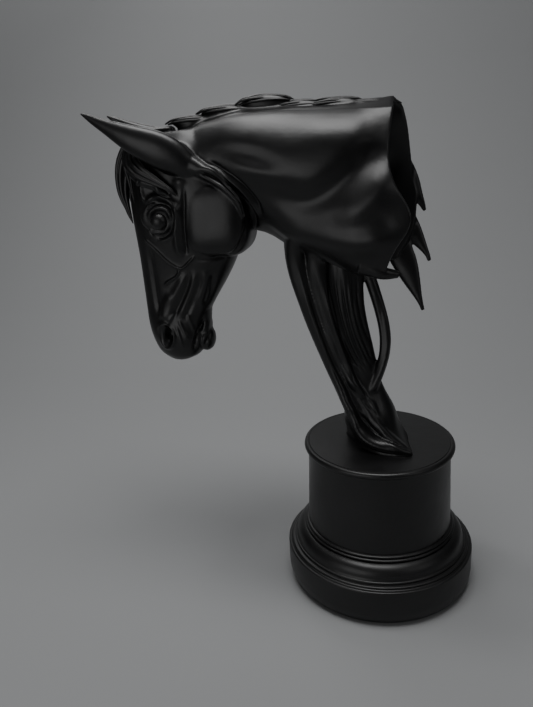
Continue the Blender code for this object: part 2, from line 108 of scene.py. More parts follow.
def smooth_line(points, count):
    """A smooth line through rows of numbers, read at even steps (Catmull-Rom)."""
    rows = np.array(points, float)
    ends = np.vstack([2 * rows[0] - rows[1], rows, 2 * rows[-1] - rows[-2]])
    line = []
    for t in np.linspace(0, len(rows) - 1, count):
        i = min(int(t), len(rows) - 2)
        f = t - i
        a, b, c, d = ends[i:i + 4]
        line.append(0.5 * (2 * b + (c - a) * f + (2 * a - 5 * b + 4 * c - d) * f * f
                           + (3 * b - a - 3 * c + d) * f ** 3))
    return np.array(line)


def rounded(turn, square):
    """Cosine and sine of a turn, squared off: 2 is an ellipse and more is boxier."""
    c, s = math.cos(turn), math.sin(turn)
    return math.copysign(abs(c) ** (2 / square), c), math.copysign(abs(s) ** (2 / square), s)


THINNEST = 4e-4


def add_strand(form, points, mirror=1.0, sides=14, rings_per_point=6):
    """A tapering strand: rows of x, y, z, half width and half thickness, swept as an oval."""
    line = smooth_line(points, rings_per_point * (len(points) - 1) + 1)
    frames = []
    for i, row in enumerate(line):
        ahead = Vector(line[min(i + 1, len(line) - 1)][:3]) - Vector(line[max(i - 1, 0)][:3])
        across = ahead.cross(Vector((0, 1, 0))).normalized()
        through = across.cross(ahead).normalized()
        frames.append((Vector(row[:3]), across, through, max(row[3], THINNEST), max(row[4], THINNEST)))

    def place(along, turn):
        centre, across, through, half_width, half_depth = frames[round(along * (len(frames) - 1))]
        return centre + across * half_width * math.cos(turn) + through * half_depth * math.sin(turn)

    add_tube(form, sides, len(frames), place, mirror)


def as_object(form, name):
    """Turns a finished bmesh into an object of the scene."""
    mesh = bpy.data.meshes.new(name)
    form.to_mesh(mesh)
    form.free()
    made = bpy.data.objects.new(name, mesh)
    bpy.context.scene.collection.objects.link(made)
    return made


def evaluated_mesh(thing):
    """The mesh an object shows once its modifiers have run."""
    bpy.context.view_layer.update()
    return bpy.data.meshes.new_from_object(thing.evaluated_get(bpy.context.evaluated_depsgraph_get()))


# %% [markdown]
# ## The head, blocked out
#
# The head hangs straight down. Levels from muzzle to poll give the front and back of the profile in the
# plane of symmetry, the half width and how square the section is. The cheeks are one flat disc that
# runs right through the head, because on a horse the jaw bone makes the same flat plate on both sides.

# %% Head levels
HEAD_LEVELS = [
    (-0.2530, 0.2885, -0.2270, 0.2880, 0.0140, 2.0), (-0.2650, 0.2990, -0.2130, 0.2960, 0.0225, 2.2),
    (-0.2722, 0.3170, -0.2070, 0.3130, 0.0265, 2.3), (-0.2757, 0.3350, -0.2050, 0.3340, 0.0250, 2.3),
    (-0.2768, 0.3600, -0.1925, 0.3580, 0.0235, 2.3), (-0.2774, 0.3900, -0.1735, 0.3880, 0.0260, 2.4),
    (-0.2778, 0.4150, -0.1610, 0.4120, 0.0300, 2.5), (-0.2790, 0.4380, -0.1550, 0.4340, 0.0345, 2.5),
    (-0.2805, 0.4600, -0.1500, 0.4580, 0.0375, 2.4), (-0.2810, 0.4850, -0.1500, 0.4830, 0.0375, 2.3),
    (-0.2770, 0.5120, -0.1580, 0.5100, 0.0350, 2.2), (-0.2660, 0.5340, -0.1700, 0.5330, 0.0300, 2.1),
    (-0.2450, 0.5480, -0.1900, 0.5530, 0.0190, 2.0),
]
HEAD_RINGS = 73


def add_head(form):
    levels = smooth_line(HEAD_LEVELS, HEAD_RINGS)

    def place(along, turn):
        front_x, front_z, back_x, back_z, half_width, square = levels[round(along * (HEAD_RINGS - 1))]
        c, s = rounded(turn, square)
        middle = Vector(((front_x + back_x) / 2, 0, (front_z + back_z) / 2))
        reach = Vector((front_x, 0, front_z)) - middle
        return middle + reach * c + Vector((0, s * half_width * (1.0 - 0.18 * c), 0))

    add_tube(form, 64, HEAD_RINGS, place)


CHEEK_CENTRE = Vector((-0.1770, 0.0, 0.4570))
CHEEK_HALF = Vector((0.0385, 0.0415, 0.0440))
CHEEK_SQUARE = 3.3
CHEEK_FLATNESS = 4.0


def add_cheeks(form):
    def place(along, turn):
        lean = math.radians(-87 + 174 * along)
        c, side = rounded(turn, CHEEK_SQUARE)
        size = math.cos(lean) ** (2 / CHEEK_FLATNESS)
        depth = CHEEK_HALF.y * math.copysign(abs(math.sin(lean)) ** (2 / CHEEK_FLATNESS), lean)
        return CHEEK_CENTRE + Vector((CHEEK_HALF.x * size * c, depth, CHEEK_HALF.z * size * side))

    add_tube(form, 64, 41, place)


def add_ball(form, centre, half_sizes, mirror=1.0):
    middle = Matrix.Translation((centre[0], centre[1] * mirror, centre[2]))
    place = middle @ Matrix.Diagonal((*half_sizes, 1.0))
    bmesh.ops.create_uvsphere(form, u_segments=32, v_segments=20, radius=1.0, matrix=place)


EAR = [(-0.1930, 0.026, 0.5020, 0.0100, 0.0090), (-0.2080, 0.033, 0.5180, 0.0165, 0.0110),
       (-0.2300, 0.038, 0.5315, 0.0190, 0.0105), (-0.2580, 0.039, 0.5440, 0.0145, 0.0085),
       (-0.2850, 0.037, 0.5575, 0.0080, 0.0055), (-0.3020, 0.035, 0.5665, 0.0045, 0.0035),
       (-0.3140, 0.034, 0.5730, 0.0010, 0.0015)]
EAR_FOLD = [(-0.2080, 0.0330, 0.5200, 0.0120, 0.0080), (-0.1880, 0.0345, 0.5100, 0.0085, 0.0070),
            (-0.1680, 0.0370, 0.4975, 0.0060, 0.0060), (-0.1500, 0.0380, 0.4790, 0.0040, 0.0045),
            (-0.1420, 0.0370, 0.4580, 0.0020, 0.0020)]
BROW = ((-0.2390, 0.0330, 0.4610), (0.0215, 0.0085, 0.0170))
CHIN = ((-0.2060, 0.0000, 0.3130), (0.0110, 0.0150, 0.0160))
CHIN_ROOT = [(-0.2030, 0.0, 0.3560, 0.0070, 0.0140), (-0.2060, 0.0, 0.3400, 0.0080, 0.0140),
             (-0.2080, 0.0, 0.3260, 0.0090, 0.0140), (-0.2090, 0.0, 0.3140, 0.0080, 0.0120)]
POLL = ((-0.2040, 0.0, 0.5270), (0.0380, 0.0300, 0.0250))
print("head levels:", len(HEAD_LEVELS))

# %% [markdown]
# ## The neck
#
# Close to the head the neck is closed all round. Behind that it is a thin sheet draped over nothing:
# two flaps joined at the crest, torn away at the rear. The sheet is a grid bent over the stations and
# given its wall by Solidify. A solid neck with a hollow cut out would leave the wall uneven.

# %% Neck
NECK_WALL = 0.0045
NECK_STATIONS = [
    (-0.2150, 0.5490, -0.1640, 0.4620, 0.0290, 1.00), (-0.1900, 0.5600, -0.1420, 0.4420, 0.0320, 1.00),
    (-0.1560, 0.5665, -0.1200, 0.4335, 0.0390, 1.00), (-0.1150, 0.5690, -0.0930, 0.4170, 0.0450, 0.97),
    (-0.0700, 0.5675, -0.0600, 0.4060, 0.0500, 0.88), (-0.0300, 0.5665, -0.0280, 0.3930, 0.0540, 0.78),
]
NEAR_EDGE = [(0.0150, 0.5690), (0.0095, 0.5200), (0.0150, 0.4900), (0.0300, 0.4620), (0.0290, 0.4430),
             (0.0150, 0.4190), (0.0040, 0.3920)]
FAR_EDGE = [(0.0230, 0.5690), (0.0300, 0.5450), (0.0345, 0.5160), (0.0385, 0.4840), (0.0430, 0.4600),
            (0.0380, 0.4250), (0.0200, 0.3950)]
EDGE_HALF_WIDTH = 0.0560
RIDGE_START = -0.0700
RIDGE_RUN = 0.0800
RIDGE_OFFSET = 0.0070
RIDGE_RISE = 0.0040


def neck_share(share, closing):
    """Half width at a share of the way down, as a share of the widest."""
    return 0.16 * (1 - share) + math.sin(math.pi * min(share * closing, 1.0) ** 0.85) ** 0.75


def neck_point(station, share, side):
    crest_x, crest_z, under_x, under_z, half_width, closing = station
    return Vector((crest_x + (under_x - crest_x) * share, side * half_width * neck_share(share, closing),
                   crest_z + (under_z - crest_z) * share))


CORE_RINGS = 25


def add_neck_core(form):
    stations = smooth_line(NECK_STATIONS[:4], CORE_RINGS)
    stations[:, 5] = 1.0
    for i, station in enumerate(stations):
        dive = max(i / (CORE_RINGS - 1) - 0.35, 0.0) ** 1.5
        middle = (station[1] + station[3]) / 2
        station[1] += (middle - station[1]) * 0.16 * dive
        station[3] += (middle - station[3]) * 0.10 * dive
        station[4] *= 1 - 0.16 * dive
        lead = max(1 - i / 5, 0.0) ** 2
        station[1] += (middle - station[1]) * 0.22 * lead
        station[4] *= 1 - 0.50 * lead

    def place(along, turn):
        station = stations[round(along * (CORE_RINGS - 1))]
        return neck_point(station, 1 - abs(turn) / math.pi, math.copysign(1, turn))

    add_tube(form, 60, CORE_RINGS, place)


def neck_sheet():
    stations = smooth_line(NECK_STATIONS[1:], 41)
    downs, steps = 34, 9
    near = smooth_line(NEAR_EDGE, downs + 1)
    far = smooth_line(FAR_EDGE, downs + 1)
    form = bmesh.new()
    bmesh.ops.create_grid(form, x_segments=len(stations) + steps - 1, y_segments=2 * downs, size=0.5)
    for vert in form.verts:
        i = round((vert.co.x + 0.5) * (len(stations) + steps - 1))
        j = round((vert.co.y + 0.5) * 2 * downs) - downs
        side = 1.0 if j > 0 else -1.0
        share = abs(j) / downs
        point = neck_point(stations[min(i, len(stations) - 1)], share, side)
        if i >= len(stations):
            f = (i - len(stations) + 1) / steps
            x, z = (far if j > 0 else near)[abs(j)]
            edge = Vector((x, side * EDGE_HALF_WIDTH * neck_share(share, 0.70), z))
            slope = (point - neck_point(stations[-2], share, side)) * steps
            bend = (1 - f) ** 2 * f
            point = point.lerp(edge, f * f * (3 - 2 * f)) + slope * bend + (edge - point) * (f * f * (f - 1))
        if j == 0:
            rise = min(max((point.x - RIDGE_START) / RIDGE_RUN, 0.0), 1.0)
            point = Vector((point.x, RIDGE_OFFSET * rise, point.z + RIDGE_RISE * rise))
        vert.co = point
    bmesh.ops.recalc_face_normals(form, faces=form.faces)
    form.normal_update()
    if sum(face.normal.y * face.calc_center_median().y for face in form.faces) < 0:
        bmesh.ops.reverse_faces(form, faces=form.faces)
    sheet = as_object(form, "neck_sheet")
    wall = sheet.modifiers.new("wall", "SOLIDIFY")
    wall.thickness = NECK_WALL
    wall.offset = -1.0
    return sheet


FLAMES = [
    [(0.008, 0.0530, 0.532, 0.010, 0.0020), (0.030, 0.0580, 0.490, 0.013, 0.0030),
     (0.0470, 0.0600, 0.460, 0.005, 0.0030), (0.0525, 0.0605, 0.448, 0.0022, 0.0020)],
    [(0.005, 0.0590, 0.475, 0.014, 0.0020), (0.033, 0.0570, 0.434, 0.013, 0.0034),
     (0.0540, 0.0525, 0.402, 0.004, 0.0030), (0.0585, 0.0500, 0.391, 0.0022, 0.0020)],
    [(0.004, 0.0570, 0.448, 0.016, 0.0020), (0.029, 0.0505, 0.392, 0.015, 0.0038),
     (0.0475, 0.0445, 0.346, 0.004, 0.0030), (0.0520, 0.0430, 0.333, 0.0022, 0.0020)],
    [(-0.022, -0.0450, 0.402, 0.007, 0.0020), (0.003, -0.0420, 0.396, 0.007, 0.0055),
     (0.020, -0.0360, 0.393, 0.004, 0.0045)],
]
print("neck stations:", len(NECK_STATIONS), "and torn points:", len(FLAMES))

# %% [markdown]
# ## The stem
#
# Below the neck the casting gathers into a stem: two smooth ribbons in front, a block of fine flutes
# behind them and one strand that loops away and leaves a slot. The body of the stem is a tube through
# eight-point outlines, and the ribbons are strands laid on it.

# %% Stem
STEM_SECTIONS = [
    (0.1750, [(-0.039, 0.021), (-0.031, -0.010), (-0.014, -0.033), (0.010, -0.046),
              (0.041, -0.044), (0.037, -0.012), (0.030, 0.030), (-0.008, 0.034)]),
    (0.1860, [(-0.038, 0.020), (-0.031, -0.008), (-0.014, -0.031), (0.008, -0.043),
              (0.034, -0.041), (0.034, -0.012), (0.028, 0.028), (-0.008, 0.032)]),
    (0.2020, [(-0.040, 0.017), (-0.035, -0.006), (-0.022, -0.022), (-0.005, -0.031),
              (0.014, -0.030), (0.024, -0.010), (0.022, 0.022), (-0.010, 0.026)]),
    (0.2250, [(-0.042, 0.012), (-0.038, -0.005), (-0.028, -0.015), (-0.012, -0.020),
              (0.005, -0.018), (0.017, -0.004), (0.014, 0.016), (-0.014, 0.020)]),
    (0.2550, [(-0.052, 0.008), (-0.049, -0.004), (-0.040, -0.011), (-0.024, -0.012),
              (-0.008, -0.011), (0.004, 0.000), (-0.002, 0.013), (-0.028, 0.015)]),
    (0.2950, [(-0.067, 0.006), (-0.064, -0.004), (-0.054, -0.010), (-0.038, -0.011),
              (-0.019, -0.010), (-0.005, 0.001), (-0.015, 0.013), (-0.042, 0.015)]),
    (0.3500, [(-0.087, 0.006), (-0.084, -0.004), (-0.074, -0.010), (-0.055, -0.011),
              (-0.031, -0.010), (-0.016, 0.002), (-0.027, 0.013), (-0.060, 0.015)]),
    (0.4050, [(-0.100, 0.006), (-0.097, -0.004), (-0.087, -0.010), (-0.064, -0.011),
              (-0.034, -0.010), (-0.018, 0.002), (-0.032, 0.013), (-0.070, 0.015)]),
    (0.4600, [(-0.106, 0.006), (-0.103, -0.004), (-0.092, -0.010), (-0.068, -0.011),
              (-0.042, -0.010), (-0.028, 0.002), (-0.040, 0.013), (-0.074, 0.015)]),
    (0.5100, [(-0.125, 0.006), (-0.122, -0.004), (-0.112, -0.010), (-0.092, -0.011),
              (-0.072, -0.010), (-0.056, 0.002), (-0.066, 0.013), (-0.094, 0.015)]),
    (0.5600, [(-0.140, 0.006), (-0.138, -0.004), (-0.130, -0.010), (-0.114, -0.011),
              (-0.098, -0.010), (-0.086, 0.002), (-0.092, 0.013), (-0.112, 0.015)]),
]
STEM_RINGS = 8 * len(STEM_SECTIONS) - 7
STEM_SIDES = 64


def add_stem(form):
    levels = [[z] + [v for point in outline for v in point] for z, outline in STEM_SECTIONS]
    rows = smooth_line(levels, STEM_RINGS)
    rings = []
    for row in rows:
        outline = [(row[1 + 2 * i], row[2 + 2 * i]) for i in range(8)]
        closed = smooth_line(outline[-2:] + outline + outline[:2], 11 * STEM_SIDES // 8 + 1)
        rings.append((closed[2 * STEM_SIDES // 8:], row[0]))

    def place(along, turn):
        closed, z = rings[round(along * (STEM_RINGS - 1))]
        x, y = closed[round(turn / (2 * math.pi) * STEM_SIDES) % STEM_SIDES]
        return Vector((x, y, z))

    add_tube(form, STEM_SIDES, STEM_RINGS, place)


STEM_STRANDS = [
    [(-0.088, -0.006, 0.470, 0.014, 0.014), (-0.092, -0.008, 0.410, 0.0125, 0.013),
     (-0.0780, -0.010, 0.350, 0.0105, 0.012), (-0.0590, -0.012, 0.295, 0.0090, 0.012),
     (-0.0425, -0.014, 0.253, 0.0075, 0.012), (-0.0290, -0.020, 0.222, 0.0070, 0.013),
     (-0.012, -0.030, 0.199, 0.008, 0.010), (0.016, -0.040, 0.190, 0.006, 0.006),
     (0.038, -0.043, 0.186, 0.002, 0.003)],
    [(-0.066, -0.010, 0.460, 0.015, 0.010), (-0.068, -0.012, 0.390, 0.0125, 0.009),
     (-0.056, -0.013, 0.330, 0.0105, 0.008), (-0.041, -0.013, 0.282, 0.0090, 0.008),
     (-0.026, -0.014, 0.245, 0.008, 0.009), (-0.008, -0.020, 0.216, 0.008, 0.009),
     (0.014, -0.029, 0.198, 0.006, 0.007), (0.034, -0.038, 0.188, 0.002, 0.003)],
    [(-0.036, 0.000, 0.460, 0.014, 0.016), (-0.040, 0.000, 0.395, 0.0135, 0.014),
     (-0.032, 0.000, 0.340, 0.0115, 0.013), (-0.021, 0.000, 0.298, 0.0095, 0.012),
     (-0.011, 0.000, 0.268, 0.0070, 0.010), (-0.004, 0.000, 0.250, 0.0050, 0.008)],
    [(-0.026, 0.006, 0.430, 0.009, 0.008), (-0.0145, 0.008, 0.394, 0.0075, 0.007),
     (-0.0010, 0.006, 0.352, 0.0068, 0.007), (0.0065, 0.002, 0.320, 0.0068, 0.007),
     (0.0065, -0.002, 0.294, 0.0065, 0.007), (-0.001, -0.006, 0.266, 0.0058, 0.007),
     (-0.010, -0.012, 0.243, 0.0040, 0.004)],
]
print("stem outlines:", len(STEM_SECTIONS))

# %% [markdown]
# ## One skin
#
# The forms still overlap. A voxel remesh melts them into one closed skin, as wax runs over an armature,
# and a few rounds of smoothing take the steps out. Booleans would keep hard seams between the forms,
# which a casting from a modelled original doesn't have.

# %% Melt the forms together
VOXEL = 0.0010
# The casting's foot stands 0.3 mm above the plinth's top
SEAT = 0.1833
# Lumps of the mane along the crest: x, z, half length, half height
MANE_LUMPS = [(-0.200, 0.5585, 0.026, 0.0080), (-0.165, 0.5670, 0.026, 0.0080),
              (-0.120, 0.5730, 0.026, 0.0100), (-0.082, 0.5670, 0.024, 0.0080),
              (-0.045, 0.5670, 0.026, 0.0080), (-0.008, 0.5645, 0.024, 0.0065)]
MANE_RIDGE = [(-0.2250, 0.0050, 0.5450, 0.0040, 0.0070), (-0.1900, 0.0050, 0.5575, 0.0055, 0.0090),
              (-0.1550, 0.0050, 0.5640, 0.0055, 0.0095), (-0.1150, 0.0055, 0.5665, 0.0055, 0.0095),
              (-0.0700, 0.0060, 0.5650, 0.0055, 0.0095), (-0.0300, 0.0065, 0.5645, 0.0050, 0.0090),
              (0.0020, 0.0070, 0.5630, 0.0030, 0.0050)]
MANE_HALF_WIDTH = 0.0100
MANE_OFFSET = 0.0060
MANE_SINK = 0.0013
MANE_STRAND = 0.0011
FORELOCK_ROOTS = [
    [(-0.225, 0.000, 0.544, 0.012, 0.012), (-0.258, 0.004, 0.538, 0.012, 0.009),
     (-0.277, 0.007, 0.516, 0.009, 0.006), (-0.282, 0.008, 0.490, 0.007, 0.005),
     (-0.280, 0.006, 0.462, 0.002, 0.002)],
    [(-0.225, -0.006, 0.542, 0.010, 0.010), (-0.257, -0.015, 0.537, 0.009, 0.008),
     (-0.266, -0.028, 0.518, 0.007, 0.006), (-0.256, -0.035, 0.503, 0.006, 0.005),
     (-0.236, -0.037, 0.492, 0.004, 0.004), (-0.222, -0.037, 0.484, 0.001, 0.001)],
    [(-0.225, 0.006, 0.542, 0.010, 0.010), (-0.260, 0.019, 0.532, 0.009, 0.008),
     (-0.276, 0.027, 0.502, 0.006, 0.005), (-0.279, 0.027, 0.475, 0.001, 0.001)],
]


def blocked_out():
    """Every solid form of the casting in one bmesh, still overlapping."""
    form = bmesh.new()
    add_head(form)
    add_cheeks(form)
    add_neck_core(form)
    add_stem(form)
    add_ball(form, *CHIN)
    add_ball(form, *POLL)
    add_strand(form, CHIN_ROOT, sides=28)
    add_strand(form, MANE_RIDGE, sides=28)
    for side in (-1.0, 1.0):
        add_ball(form, *BROW, mirror=side)
        add_strand(form, EAR, mirror=side, sides=28)
        add_strand(form, EAR_FOLD, mirror=side, sides=28)
    for x, z, half_length, half_height in MANE_LUMPS:
        add_ball(form, (x, MANE_OFFSET, z), (half_length, MANE_HALF_WIDTH, half_height))
    for strand in FLAMES + STEM_STRANDS + FORELOCK_ROOTS:
        add_strand(form, strand, sides=24)
    return form


def melted(form, sheet):
    """Joins the forms and the neck sheet into one skin."""
    wall = evaluated_mesh(sheet)
    form.from_mesh(wall)
    bpy.data.objects.remove(sheet)
    block = as_object(form, "block")
    skin = block.modifiers.new("skin", "REMESH")
    skin.mode = "VOXEL"
    skin.voxel_size = VOXEL
    relax = block.modifiers.new("relax", "SMOOTH")
    relax.factor = 0.5
    relax.iterations = 6
    mesh = evaluated_mesh(block)
    bpy.data.objects.remove(block)
    return mesh


skin = melted(blocked_out(), neck_sheet())
print("skin:", len(skin.vertices), "points")

# %% [markdown]
# ## Carving tools
#
# Every carved line is drawn as seen from the side, as points in x and z, and pressed into the skin of the
# side it faces. A tool has a width and a height: above zero it lays on a ridge of clay, below zero it
# cuts. The broad moves of the neck sheet shift both faces of the wall together, so its thickness stays.

# %% Carving tools
points = np.empty(len(skin.vertices) * 3)
skin.vertices.foreach_get("co", points)
points = points.reshape(-1, 3)
MM = 0.001


def current_normals():
    skin.vertices.foreach_set("co", points.ravel())
    skin.update()
    found = np.empty(len(skin.vertices) * 3)
    skin.vertices.foreach_get("normal", found)
    return found.reshape(-1, 3)


def nearest_on_line(near, line):
    """Distance in the side view from each point to the line, and how far along the line it lies."""
    best = np.full(len(near), 1.0)
    along = np.zeros(len(near))
    for k, (a, b) in enumerate(zip(line, line[1:])):
        run = b - a
        t = np.clip(((near - a) @ run) / max(run @ run, 1e-12), 0, 1)
        gap = np.linalg.norm(near - a - t[:, None] * run, axis=1)
        closer = gap < best
        best[closer] = gap[closer]
        along[closer] = (k + t[closer]) / (len(line) - 1)
    return best, along


def carve(line, width, height, side=-1.0, wall=False, depth=0.010, taper=0.25, reach_y=None):
    """Presses one line into the side that faces side: width and height in millimetres."""
    path = smooth_line(line, 8 * (len(line) - 1) + 1)
    width, height = width * MM, height * MM
    low, high = path.min(0) - 3.2 * width, path.max(0) + 3.2 * width
    chosen = (points[:, 0] > low[0]) & (points[:, 0] < high[0])
    chosen &= (points[:, 2] > low[1]) & (points[:, 2] < high[1])
    chosen &= points[:, 1] * side > depth
    if reach_y is not None:
        chosen &= points[:, 1] * side < reach_y
    where = np.nonzero(chosen)[0]
    gap, along = nearest_on_line(points[where][:, [0, 2]], path)
    amount = height * np.exp(-(gap / width) ** 2)
    if taper:
        amount *= 0.5 - 0.5 * np.cos(math.pi * np.clip(np.minimum(along, 1 - along) / taper, 0, 1))
    if wall:
        amount *= np.clip((points[where, 1] * side - depth) / (6 * MM), 0, 1)
        points[where, 1] += side * amount
    else:
        facing = np.clip(normals[where, 1] * side * 1.6, 0, 1)
        points[where] += normals[where] * (amount * facing)[:, None]


def dab(x, z, half_x, half_z, height, side=-1.0, lean=0.0, wall=False, depth=0.010, power=2.0):
    """Raises or sinks one oval patch; lean turns it in the side view."""
    global points
    c, s = math.cos(math.radians(lean)), math.sin(math.radians(lean))
    dx, dz = points[:, 0] - x, points[:, 2] - z
    u = (c * dx + s * dz) / (half_x * MM)
    w = (-s * dx + c * dz) / (half_z * MM)
    amount = height * MM * np.exp(-(u * u + w * w) ** (power / 2)) * (points[:, 1] * side > depth)
    if wall:
        points[:, 1] += side * amount
    else:
        points += normals * (amount * np.clip(normals[:, 1] * side * 1.6, 0, 1))[:, None]


ends = np.empty(len(skin.edges) * 2, dtype=np.int64)
skin.edges.foreach_get("vertices", ends)
ends = ends.reshape(-1, 2)
neighbours = np.bincount(ends.ravel(), minlength=len(points))


def relax(chosen, rounds, factor=0.5):
    """Evens the skin where chosen: each point moves towards the mean of its neighbours."""
    for _ in range(rounds):
        for axis in range(3):
            here = points[:, axis]
            total = np.bincount(ends[:, 0], here[ends[:, 1]], len(points))
            total += np.bincount(ends[:, 1], here[ends[:, 0]], len(points))
            points[chosen, axis] += factor * (total / neighbours - here)[chosen]


# %% [markdown]
# ## The neck's broad moves
#
# The sheet of the neck is not a plain vault. An upper roll overhangs a long valley, which runs from
# behind the cheek and climbs towards the rear, and a lower roll swells under it before the hem turns in.
# These are the moves that catch the light from across a room, so they are made first.

# %% Neck moves
NECK_LINES = [
    ([(-0.1523, 0.4943), (-0.1139, 0.4846), (-0.0781, 0.4741), (-0.0532, 0.4800), (-0.0337, 0.4936),
      (-0.0158, 0.5087), (-0.0062, 0.5200), (0.0000, 0.5320)], 15.0, -9.0, 0.30, 0.014),
    ([(-0.1300, 0.4480), (-0.1000, 0.4380), (-0.0700, 0.4320), (-0.0300, 0.4280), (0.0050, 0.4330),
      (0.0300, 0.4480)], 16.0, 8.0, 0.30, 0.014),
    ([(-0.0500, 0.4480), (-0.0200, 0.4620), (0.0020, 0.4860), (0.0100, 0.5200)], 13.0, 4.0, 0.35, 0.014),
    ([(-0.1850, 0.5330), (-0.1500, 0.5260), (-0.1200, 0.5180), (-0.0900, 0.5080)], 9.0, -2.6, 0.50, 0.014),
    ([(-0.1700, 0.5160), (-0.1400, 0.5090), (-0.1100, 0.5000), (-0.0850, 0.4900)], 8.0, 2.4, 0.50, 0.014),
    ([(0.0150, 0.4300), (0.0070, 0.4470), (0.0110, 0.4600)], 10.0, -1.5, 0.50, 0.014),
    ([(-0.1231, 0.4330), (-0.0935, 0.4190), (-0.0618, 0.4060), (-0.0303, 0.3940), (0.0041, 0.3800)],
     8.0, -6.0, 0.15, 0.027),
]
# The far side repeats the seen side's moves, weaker
FAR_SHARE = 0.7
normals = current_normals()
for side, strength in ((-1.0, 1.0), (1.0, FAR_SHARE)):
    for line, width, height, taper, depth in NECK_LINES:
        carve(line, width, height * strength, side=side, wall=True, depth=depth, taper=taper)
    dab(-0.0429, 0.5400, 34, 20, 4.5 * strength, side=side, wall=True, depth=0.008)
# Even the whole neck, then the poll, then the crest
relax((points[:, 0] > -0.205) & (points[:, 2] > 0.40), 6)
poll = (np.abs(points[:, 0] + 0.195) < 0.030) & (np.abs(points[:, 1]) < 0.031) & (points[:, 2] > 0.525)
relax(poll, 30)
relax((points[:, 2] > 0.561) & (points[:, 0] > -0.215), 14)
print("neck lines:", len(NECK_LINES))

# %% [markdown]
# ## Carving the head
#
# The eye sits in a socket between two ridged lids under a brow, with folds that run back from it. Down
# the face go the facial crest, the veins, the long muscles and the comma of the nostril, and the mouth is
# one deep cut with the chin behind it. The seen side gets every line, and the far side gets them too.

